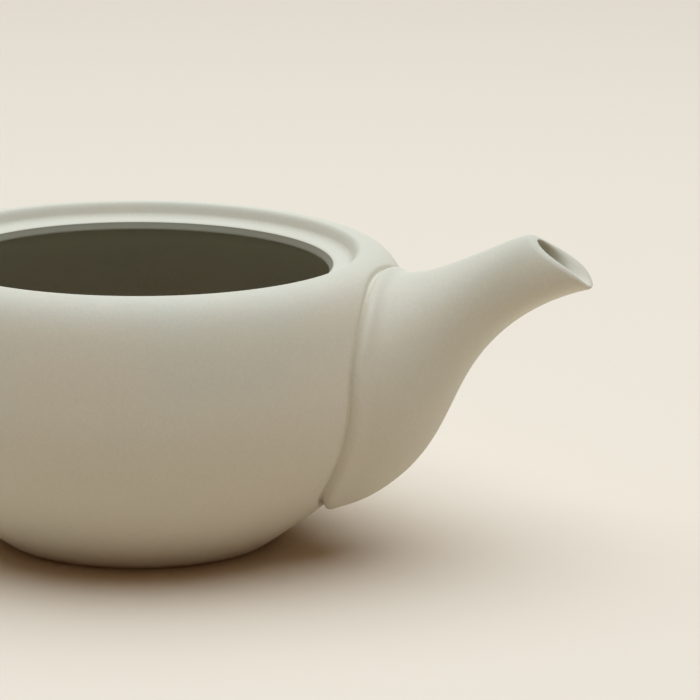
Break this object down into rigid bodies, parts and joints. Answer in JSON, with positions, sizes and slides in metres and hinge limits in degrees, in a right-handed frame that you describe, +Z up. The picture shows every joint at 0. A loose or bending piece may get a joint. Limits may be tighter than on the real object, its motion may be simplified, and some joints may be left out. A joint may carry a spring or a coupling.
{
  "type": "teapot",
  "caption": "Small Japanese clay teapot with a bell-rooted spout, a pierced strainer, a loop handle and a loose knobbed lid.",
  "frame": {"origin": "centre of the flat foot, on the surface that the pot stands on", "axes": "+Z up, +X along the spout, -X along the handle, the loose lid lies on the +Y side"},
  "size_m": [0.1791, 0.1994, 0.0679],
  "materials": {
    "pot_clay": "matte",
    "spout_clay": "matte",
    "strainer_clay": "unglazed",
    "handle_clay": "matte",
    "lid_clay": "matte",
    "knob_clay": "matte"
  },
  "bodies": {
    "pot": {"pot_body": "pot_clay", "spout": "spout_clay", "strainer": "strainer_clay", "handle": "handle_clay"},
    "lid": {"lid": "lid_clay", "lid_knob": "knob_clay"}
  },
  "joints": [
    {"name": "lid_swing", "type": "hinge", "parent": "pot", "child": "lid", "pos_m": [-0.01869, 0.05751, 0.05335], "axis": [0.9511, 0.309, 0], "range_deg": [0, 208.01]}
  ]
}
